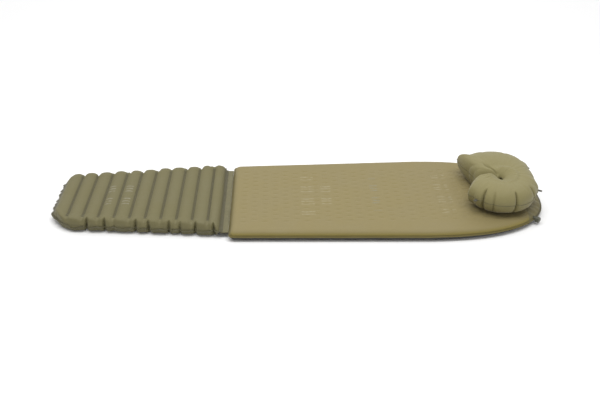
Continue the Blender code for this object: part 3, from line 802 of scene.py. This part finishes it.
def fit_foot(points):
    """Stretches the blown-up section to the size of its CAD skins and fills out its two walls."""
    x, y, z = points.T
    reach = (FOOT_COUPLER_X - 0.001 - VALLEYS[-1]) / (np.max(x) - VALLEYS[-1])
    x = np.where(x > VALLEYS[-1], VALLEYS[-1] + (x - VALLEYS[-1]) * reach, x)
    z = FOOT_SEAM + (z - FOOT_SEAM) * (FOOT_TOP - 0.0008 - FOOT_SEAM) / (np.max(z) - FOOT_SEAM)
    stations = np.linspace(FOOT_END_X + 0.03, FOOT_COUPLER_X - 0.012, 30)
    for sign in (-1, 1):
        scale = []
        for station in stations:
            slab = (np.abs(x - station) < 0.030) & (np.sign(y) == sign)
            target = foot_half_width(station, sign) + (0.006 if sign > 0 else -0.003)
            scale.append(target / np.max(np.abs(y[slab])))
        y = np.where(np.sign(y) == sign, y * np.interp(x, stations, scale), y)
    half = np.array([foot_half_width(a, b) + (0.004 if b > 0 else -WELD) for a, b in zip(x, y)])
    band, power = np.where(y < 0, 0.030, 0.045), np.where(y < 0, 2.6, 6.0)
    inward = np.clip((np.abs(y) - half + band) / band, 0, 1)
    wall = (1 - inward**power) ** (1 / power) * smooth(inward, 0.15, 0.5)
    puff = 0.80 + 0.17 * np.sin(np.pi * (((x - VALLEYS[0]) / TUBE_PITCH) % 1))
    at_foot = np.clip((x - FOOT_END_X - WELD) / 0.03, 0, 1)
    at_coupler = np.clip((FOOT_COUPLER_X - x) / 0.03, 0, 1)
    full = (FOOT_TOP - FOOT_SEAM) * wall * puff * at_foot * at_coupler
    z = FOOT_SEAM + np.sign(z - FOOT_SEAM) * np.maximum(np.abs(z - FOOT_SEAM), full)
    return np.column_stack([x, y, z])


def crease_foot(points):
    """Folds that the welded sides take up where the tubes end, and the seam's droop between them."""
    x, y, z = points.T
    half = np.array([foot_half_width(a, b) - WELD for a, b in zip(x, y)])
    by_side = np.clip((np.abs(y) - half + 0.036) / 0.036, 0, 1)
    side = by_side**1.3
    # the far wall's folds run in the opposite order and stand nearer to their valleys
    for sign, creases, stray in ((-1, FOOT_CREASES, 1), (1, FOOT_CREASES[::-1], 0.4)):
        for valley, (shift, depth) in zip(VALLEYS, creases):
            lean = 0.25 * (z - FOOT_SEAM) * rough(valley, sign * 1.0, 3.0, 0.03)
            away = np.abs(x - valley - shift * stray - lean)
            fold = np.exp(-((away / FOOT_FOLD_WIDTH) ** 1.4)) * (np.sign(y) == sign)
            y = y - sign * FOOT_FOLD_DEPTH * depth * fold * side
    droop = np.zeros(len(x))
    for low, high in zip(VALLEYS, VALLEYS[1:]):
        within = (x > low) * (x < high)
        droop += within * np.sin(np.pi * np.clip((x - low) / (high - low), 0, 1))
    z = z - SEAM_DROOP * droop * bell(z - FOOT_SEAM, 0.012) * by_side**3
    y = y + np.sign(y) * WALL_BULGE * bell(z - 0.006, 0.010) * by_side
    in_tube = np.abs(((x - VALLEYS[0]) / TUBE_PITCH + 0.5) % 1 - 0.5) * TUBE_PITCH
    above = smooth(z, FOOT_SEAM + 0.004, FOOT_SEAM + 0.018)
    dip = np.where(y < 0, 0.0088, 0.0042)
    z = z - dip * bell(in_tube, 0.010) * above * by_side**0.4
    wobble = np.array([rough(a, b, 8.0, 0.03) for a, b in zip(x, y)])
    z = z + 0.0016 * wobble * side
    return clear_foot_valve(np.column_stack([x, y, np.clip(z, 0.0006, FOOT_TOP)]))


def clear_foot_valve(points):
    """Presses the wall round the foot valve back behind its flange, so that its plug can open."""
    low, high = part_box("foot_valve_base")
    offset = np.array(points) - np.array((low + high) / 2)
    outward = np.array((0, math.cos(FOOT_VALVE_TILT), math.sin(FOOT_VALVE_TILT)))
    height = offset @ outward
    radial = np.linalg.norm(offset - np.outer(height, outward), axis=1)
    allowed = -0.0012 + np.maximum(radial - PLUG_REACH, 0) * 0.6
    excess = np.maximum(height - allowed, 0) * (radial < PRESSED_REACH)
    return np.array(points) - np.outer(excess, outward)


def sharpen(obj, points, strength):
    """Keeps the edges between those points tight when the mesh is subdivided."""
    crease = obj.data.attributes.new("crease_edge", "FLOAT", "EDGE")
    for edge in obj.data.edges:
        if edge.vertices[0] in points and edge.vertices[1] in points:
            crease.data[edge.index].value = strength


def subdivide(obj):
    """Splits every face in four and rounds the mesh, and keeps the result as the object's own."""
    modifier = obj.modifiers.new("Smooth", "SUBSURF")
    modifier.levels = modifier.render_levels = 1
    evaluated = obj.evaluated_get(bpy.context.evaluated_depsgraph_get())
    finer = bpy.data.meshes.new_from_object(evaluated)
    obj.modifiers.clear()
    obj.data = finer


def reshape(obj, change):
    """Moves the vertices of an object to where the function puts them."""
    points = np.array([v.co for v in obj.data.vertices])
    obj.data.vertices.foreach_set("co", change(points).ravel())
    obj.data.update()


foot_section()


# ---------------------------------------------------------------- the pillow

PILLOW_EYE = Vector((PILLOW_X, -0.034, 0))
SLIT_DEGREES = 160
SLIT_GAP_DEGREES = 0.8
PILLOW_COLUMNS = 264
PILLOW_SHARES = 22
EYE_RADIUS = 0.009
CUT_TURN = 0.86  # angle on the flat cut over the blown-up pillow's
ARM_END_ROLL = 0.026
FOLD_ANGLE = math.radians(122)  # of the fold that runs from the eye into the far arm
FOLD_DEPTH, FOLD_WIDTH = 0.013, 0.0042
FOLD_BEND = 0.75
WRINKLE_DEPTH = 0.0013
EYE_LIFT, BASIN_DEPTH = 0.046, 0.029
PILLOW_CREASE_DEPTH = 0.0175
# direction in degrees, depth and width of each fold in the outer wall
PILLOW_CREASES = (
    (-129.8, 1.0, 1.6),
    (-113, 0.5, 1.6),
    (-79, 1.0, 1.6),
    (-43, 0.8, 1.5),
    (2, 0.5, 1.6),
    (27, 0.6, 1.7),
    (48, 0.5, 1.6),
    (72, 0.8, 1.7),
    (98, 0.5, 1.6),
    (136, 0.3, 1.9),
)
# the rim's distance from the eye round the end of each arm, by direction in degrees
NEAR_ARM_END = ((-200, 0.080), (-190, 0.090), (-180, 0.1025), (-167, 0.124), (-155, 0.149))
FAR_ARM_END = ((117, 0.209), (122, 0.226), (127, 0.194), (135, 0.142), (145, 0.107), (160, 0.086))
NEAR_ARM_DEGREES, FAR_ARM_DEGREES = -145, 110


def tab_degrees():
    """The direction of each tab from the eye."""
    directions = []
    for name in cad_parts:
        if "pillow_tab_" in name:
            low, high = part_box(name)
            away = (low + high) / 2 - PILLOW_EYE
            directions.append(math.degrees(math.atan2(away.y, away.x)))
    return directions


TAB_DEGREES = tab_degrees()


def pillow_outer(angle):
    """The distance from the eye to the CAD outline in that direction, found by halving."""
    low, high = 0.0, 0.4
    direction = Vector((math.cos(angle), math.sin(angle), 0))
    for _ in range(30):
        middle = (low + high) / 2
        p = PILLOW_EYE + direction * middle
        x, y = abs(p.x - PILLOW_X) / PILLOW_HALF_LENGTH, abs(p.y) / PILLOW_HALF_WIDTH
        if x**PILLOW_POWER + y**PILLOW_POWER < 1:
            low = middle
        else:
            high = middle
    return low


def arm_rim(angle):
    """The outline's distance from the eye, with the arms' squared and slanting ends."""
    degrees = math.degrees(angle)
    if degrees < NEAR_ARM_DEGREES:
        ends = (*NEAR_ARM_END, (NEAR_ARM_DEGREES, pillow_outer(math.radians(NEAR_ARM_DEGREES))))
    elif degrees > FAR_ARM_DEGREES:
        ends = ((FAR_ARM_DEGREES, pillow_outer(math.radians(FAR_ARM_DEGREES))), *FAR_ARM_END)
    else:
        return pillow_outer(angle)
    directions, reaches = zip(*ends)
    return float(np.interp(degrees, directions, reaches))


def pillow_rim(angle):
    """The rim as the seam draws it, pulled out a little where a tab is sewn in."""
    corner = sum(bell(math.degrees(angle) - tab, 7) for tab in TAB_DEGREES)
    return arm_rim(angle) + 0.005 * min(corner, 1)


def pillow_profile(share):
    """Height over the seam, as a share of half the thickness, from the eye (0) to the rim (1)."""
    return (1 - abs(2 * share - 1) ** 2.3) ** (1 / 2.3)


def from_eye(x, y):
    """Each point's place from the eye: along X and Y, the direction in degrees and the distance."""
    dx, dy = x - PILLOW_EYE.x, y - PILLOW_EYE.y
    degrees = np.degrees(np.arctan2(dy, dx))
    degrees = np.where(degrees < SLIT_DEGREES - 360, degrees + 360, degrees)
    return dx, dy, degrees, np.hypot(dx, dy) + 1e-6


def pillow_sheets():
    """Both sheets' starting shape, their flat cut, and the points that are held."""
    half_height = (PILLOW_TOP - PILLOW_BASE) / 2
    start = math.radians(SLIT_DEGREES - 360 + SLIT_GAP_DEGREES)
    stop = math.radians(SLIT_DEGREES - SLIT_GAP_DEGREES)
    points, flat, pinned, number = [], [], [], {}
    for side in (1, -1):
        for c in range(PILLOW_COLUMNS + 1):
            even = c / PILLOW_COLUMNS
            eased = even - 0.10 * math.sin(2 * math.pi * even) / (2 * math.pi)
            angle = start + (stop - start) * eased
            to_end = min(angle - start, stop - angle)
            outer = pillow_rim(angle) - WELD * 0.5
            direction = Vector((math.cos(angle), math.sin(angle), 0))
            turned = angle * CUT_TURN
            cut_direction = Vector((math.cos(turned), math.sin(turned), 0))
            length, before = 0.0, (EYE_RADIUS, 0.0)
            for s in range(PILLOW_SHARES + 1):
                share = (1 - math.cos(math.pi * s / PILLOW_SHARES)) / 2
                radius = EYE_RADIUS + (outer - EYE_RADIUS) * share
                level = half_height * pillow_profile(share)
                length += math.hypot(radius - before[0], level - before[1])
                before = (radius, level)
                on_weld = c in (0, PILLOW_COLUMNS) or s in (0, PILLOW_SHARES)
                if on_weld and side < 0:
                    number[side, c, s] = number[1, c, s]
                    continue
                level *= rise(to_end * radius, ARM_END_ROLL)
                z = PILLOW_SEAM + side * level
                if on_weld:
                    pinned.append(len(points))
                elif side < 0 and level > half_height * 0.86:
                    pinned.append(len(points))
                    z = PILLOW_SEAM - half_height * 0.96
                number[side, c, s] = len(points)
                points.append((*(PILLOW_EYE + direction * radius).xy, z))
                cut = PILLOW_EYE + cut_direction * (EYE_RADIUS + length)
                flat.append((cut.x, cut.y, PILLOW_SEAM))
    return points, flat, pinned, number


def pillow():
    points, flat, pinned, number = pillow_sheets()
    corners = ((0, 0), (0, 1), (1, 1), (1, 0))
    faces = sheet_faces(number, PILLOW_COLUMNS, PILLOW_SHARES, corners)
    blown = inflate("pillow_cloth", points, flat, faces, pinned, 0.3)
    blown = fit_pillow(blown)
    cover = mesh_object("pillow_cover", blown, faces, PILLOW_FABRIC)
    subdivide(cover)
    reshape(cover, crease_pillow)
    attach(cover, "pillow")
    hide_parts("pillow_top_skin", "pillow_bottom_skin")
    blown = crease_pillow(blown)
    order = [(0, s) for s in range(PILLOW_SHARES)]
    order += [(c, PILLOW_SHARES) for c in range(PILLOW_COLUMNS)]
    order += [(PILLOW_COLUMNS, s) for s in range(PILLOW_SHARES, 0, -1)]
    order += [(c, 0) for c in range(PILLOW_COLUMNS, 0, -1)]
    loop = [blown[number[1, c, s]] for c, s in order]
    outward = loop_outward(loop)
    slot, wave = "pillow_fabric", 0.0008
    weld_strip("pillow_weld", loop, outward, 0.0012, PILLOW_WELD, "pillow", wave)


def fit_pillow(points):
    """Keeps the blown-up pillow inside its outline and within the height of its CAD skins."""
    x, y, z = points.T
    dx, dy, degrees, radius = from_eye(x, y)
    rim = np.array([pillow_rim(math.radians(a)) for a in degrees]) - WELD * 0.4
    pull = np.minimum(1, rim / radius)
    stretch = (PILLOW_TOP - PILLOW_SEAM) / (np.max(z) - PILLOW_SEAM)
    z = np.where(z > PILLOW_SEAM, PILLOW_SEAM + (z - PILLOW_SEAM) * stretch, z)
    z = np.maximum(z, PILLOW_BASE + GAP)
    return np.column_stack([PILLOW_EYE.x + dx * pull, PILLOW_EYE.y + dy * pull, z])


def crease_pillow(points):
    """Folds in the outer wall, a fold along the far arm, a shallow eye and small radial wrinkles."""
    x, y, z = points.T
    dx, dy, degrees, radius = from_eye(x, y)
    outer = np.array([pillow_rim(math.radians(a)) - WELD * 0.5 for a in degrees])
    wall = smooth(radius / outer, 0.76, 0.95)
    pull = np.zeros(len(x))
    for centre, depth, wide in PILLOW_CREASES:
        away = np.abs((degrees - centre + 180) % 360 - 180)
        pull += depth * np.exp(-away / wide)
    inward = PILLOW_CREASE_DEPTH * pull * wall

    # the eye is filled up to a shallow basin
    by_slit = 0.45 + 0.55 * smooth(np.abs(degrees + 10), 120, 60)
    lift = EYE_LIFT * smooth(radius, 0.068, 0.012) * by_slit
    share = np.minimum(np.hypot(dx / 0.056, dy / np.where(dy < 0, 0.078, 0.046)), 1)
    basin = PILLOW_TOP - BASIN_DEPTH * (1 - share) ** 1.5 - 0.012 * bell(radius, 0.011)
    upper = smooth(z, PILLOW_SEAM + 0.010, PILLOW_SEAM + 0.028)
    top = smooth(z, PILLOW_SEAM + 0.020, PILLOW_SEAM + 0.045)
    z = np.where(z >= PILLOW_SEAM - 0.001, np.minimum(z + lift, basin), z)

    across = dx * math.sin(FOLD_ANGLE) - dy * math.cos(FOLD_ANGLE)
    along = dx * math.cos(FOLD_ANGLE) + dy * math.sin(FOLD_ANGLE)
    fold = np.exp(-np.abs(across + FOLD_BEND * along**2) / FOLD_WIDTH)
    fold *= smooth(along, 0.004, 0.020) * smooth(along, 0.098, 0.070)
    wrinkle = np.array([rough(a * 0.0022, r * 0.25, 6.0, 0.014) for a, r in zip(degrees, radius)])
    z = z - FOLD_DEPTH * fold * upper + WRINKLE_DEPTH * wrinkle * top
    z = np.clip(z, PILLOW_BASE + GAP, PILLOW_TOP)
    return np.column_stack([x - dx / radius * inward, y - dy / radius * inward, z])


pillow()


# ---------------------------------------------------------------- the coupler

HOOK_LOW, HOOK_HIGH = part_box("coupler_hook_tape")
TAPE_TOP, TAPE_HALF_LENGTH = HOOK_HIGH.z, HOOK_HIGH.y
RIBBON_ROWS = 160
STITCH_PITCH = 0.0042
STITCH_RINGS, STITCH_SIDES = 5, 6


def ribbon(name, stations, half_width, thickness, material, wave, size):
    """A strip of fabric along Y: its cross-section runs through the (x, z) stations."""
    points, faces = [], []
    count = len(stations)
    last = count - 1
    for r in range(RIBBON_ROWS + 1):
        y = -half_width + 2 * half_width * r / RIBBON_ROWS
        for layer in (0, 1):
            for x, z in stations:
                lift = wave * rough(x * 0.5, y, 2.0, size)
                stray = wave * 0.5 * rough(x, y, 6.0, size)
                points.append((x + stray, y, z + lift - layer * thickness))
    for r in range(RIBBON_ROWS):
        a, b = r * 2 * count, (r + 1) * 2 * count
        for k in range(last):
            faces.append((a + k, a + k + 1, b + k + 1, b + k))
            faces.append((a + count + k, b + count + k, b + count + k + 1, a + count + k + 1))
        faces.append((a, b, b + count, a + count))
        faces.append((a + last, a + count + last, b + count + last, b + last))
    for r in (0, RIBBON_ROWS):
        a = r * 2 * count
        for k in range(last):
            quad = (a + k, a + count + k, a + count + k + 1, a + k + 1)
            faces.append(quad if r == 0 else quad[::-1])
    strip = mesh_object(name, points, faces, material)
    strip.data.set_sharp_from_angle(angle=math.radians(50))
    return strip


def stitches(name, x, z):
    """A row of short raised threads along the tape."""
    points, faces = [], []
    half = TAPE_HALF_LENGTH - 0.004
    long, wide = STITCH_PITCH * 0.30, 0.0005
    for i in range(int(2 * half / STITCH_PITCH)):
        y = -half + STITCH_PITCH * (i + 0.5)
        centre = Vector((x + 0.0003 * rough(x, y, 1.0, 0.01), y, z))
        base = len(points)
        for along in np.linspace(-1, 1, STITCH_RINGS):
            girth = wide * math.sqrt(max(1 - along**2, 0.05))
            for m in range(STITCH_SIDES):
                turn = math.tau * m / STITCH_SIDES
                ring_point = (girth * math.cos(turn), long * along, girth * math.sin(turn))
                points.append(centre + Vector(ring_point))
        for k in range(STITCH_RINGS - 1):
            ring, following = base + STITCH_SIDES * k, base + STITCH_SIDES * (k + 1)
            for m in range(STITCH_SIDES):
                n = (m + 1) % STITCH_SIDES
                faces.append((ring + m, ring + n, following + n, following + m))
        faces.append(tuple(base + m for m in reversed(range(STITCH_SIDES))))
        faces.append(tuple(following + m for m in range(STITCH_SIDES)))
    row = mesh_object(name, points, faces, THREAD)
    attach(row, "foot_coupler")


def coupler():
    """The hook tape with its stitches, and the hem that joins it to the foot section."""
    low, high = HOOK_LOW.x, HOOK_HIGH.x
    crowned = [(low + (high - low) * t, TAPE_TOP + 0.0009) for t in (0.06, 0.3, 0.5, 0.7, 0.94)]
    stations = [(low, TAPE_TOP), *crowned, (high - 0.0002, TAPE_TOP)]
    tape = ribbon("coupler_hook_cover", stations, TAPE_HALF_LENGTH, 0.0022, HOOK, 0.0007, 0.02)
    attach(tape, "foot_coupler")
    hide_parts("coupler_hook_tape")
    stitches("coupler_stitches_head", high - 0.003, TAPE_TOP + 0.0010)
    stitches("coupler_stitches_foot", low + 0.006, TAPE_TOP + 0.0016)
    edge = FOOT_COUPLER_X
    stations = [
        (edge - 0.0040, FOOT_SEAM + 0.0008),
        (edge + 0.0010, FOOT_SEAM - 0.0008),
        (edge + 0.0025, TAPE_TOP + 0.0034),
        (edge + 0.0045, TAPE_TOP + 0.0022),
        (edge + 0.0088, TAPE_TOP + 0.0019),
    ]
    width = TAPE_HALF_LENGTH + 0.001
    hem = ribbon("coupler_hem", stations, width, 0.0006, FOOT_WELD, 0.0004, 0.03)
    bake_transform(hem)


coupler()


# ---------------------------------------------------------------- pieces kept from the CAD


NODE_FINISHES = {
    "mat_foam_core": FOAM,
    "coupler_loop_tape": LOOP,
    "coupler_hook_tape": HOOK,
    "mat_valve_seal": RUBBER,
    "foot_valve_cap": RUBBER,
    "pillow_valve_cap": RUBBER,
}
# by a part of the node's name
FAMILY_FINISHES = {
    "foot_baffle": FILM,
    "_tab_": WEBBING,
    "_hook_patch": HOOK,
    "_loop_patch": LOOP,
    "_flap": RUBBER,
    "_plug": RUBBER,
}


def node_finish(name):
    if name in NODE_FINISHES:
        return NODE_FINISHES[name]
    for part, material in FAMILY_FINISHES.items():
        if part in name:
            return material
    return PLASTIC


def finish_nodes():
    for name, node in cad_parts.items():
        node.data.materials.clear()
        node.data.materials.append(node_finish(name))
        if "valve" in name:
            bevel = node.modifiers.new("Edges", "BEVEL")
            bevel.width = 0.00035
            bevel.segments = 2
            bevel.limit_method = "ANGLE"
            bevel.angle_limit = math.radians(40)
            node.data.shade_smooth()
            node.data.set_sharp_from_angle(angle=math.radians(60))


finish_nodes()


# ---------------------------------------------------------------- floor, light and camera


FLOOR_REACH = 30
WORLD_STRENGTH = 0.50
# name, place, target, size and watts
SOFTBOXES = (
    ("overhead_softbox", (0, -0.35, 2.9), (0, 0, 0), (4.2, 1.2), 80),
    ("background_softbox", (0, 8, 6), (0, 9, 0), (18, 10), 750),
)
# the camera looks down on the near side
LENS_MM, SENSOR_MM = 43.514, 36
CAMERA_PLACE = (-0.0607, -2.2913, 1.5589)
CAMERA_DOWN_DEGREES, CAMERA_TURN_DEGREES = 33.944, -1.576


def floor():
    g = Graph("studio_floor")
    tone = g.mix(g.noise(0.5, 2), (0.88, 0.88, 0.88), (0.90, 0.90, 0.90))
    corners = [(x * FLOOR_REACH, y * FLOOR_REACH, 0) for x, y in ((-1, -1), (1, -1), (1, 1), (-1, 1))]
    mesh_object("studio_floor", corners, [(0, 1, 2, 3)], g.finish(tone, 0.9))


def softbox(name, place, target, size, power):
    light = bpy.data.lights.new(name, "AREA")
    light.shape = "RECTANGLE"
    light.size, light.size_y = size
    light.energy = power
    lamp = bpy.data.objects.new(name, light)
    lamp.location = place
    aim = Vector(target) - Vector(place)
    lamp.rotation_euler = aim.to_track_quat("-Z", "Y").to_euler()
    bpy.context.scene.collection.objects.link(lamp)


def camera():
    scene = bpy.context.scene
    lens = bpy.data.cameras.new("camera")
    lens.sensor_width = SENSOR_MM
    lens.lens = LENS_MM
    viewpoint = bpy.data.objects.new("camera", lens)
    viewpoint.location = CAMERA_PLACE
    tilt, turn = math.radians(90 - CAMERA_DOWN_DEGREES), math.radians(CAMERA_TURN_DEGREES)
    viewpoint.rotation_euler = (tilt, 0, turn)
    scene.collection.objects.link(viewpoint)
    scene.camera = viewpoint


def studio():
    scene = bpy.context.scene
    floor()
    world = bpy.data.worlds.new("studio")
    world.use_nodes = True
    background = world.node_tree.nodes["Background"]
    background.inputs["Color"].default_value = (1, 1, 1, 1)
    background.inputs["Strength"].default_value = WORLD_STRENGTH
    scene.world = world
    for lamp in SOFTBOXES:
        softbox(*lamp)
    scene.view_settings.view_transform = "Standard"
    scene.view_settings.look = "None"
    camera()


studio()
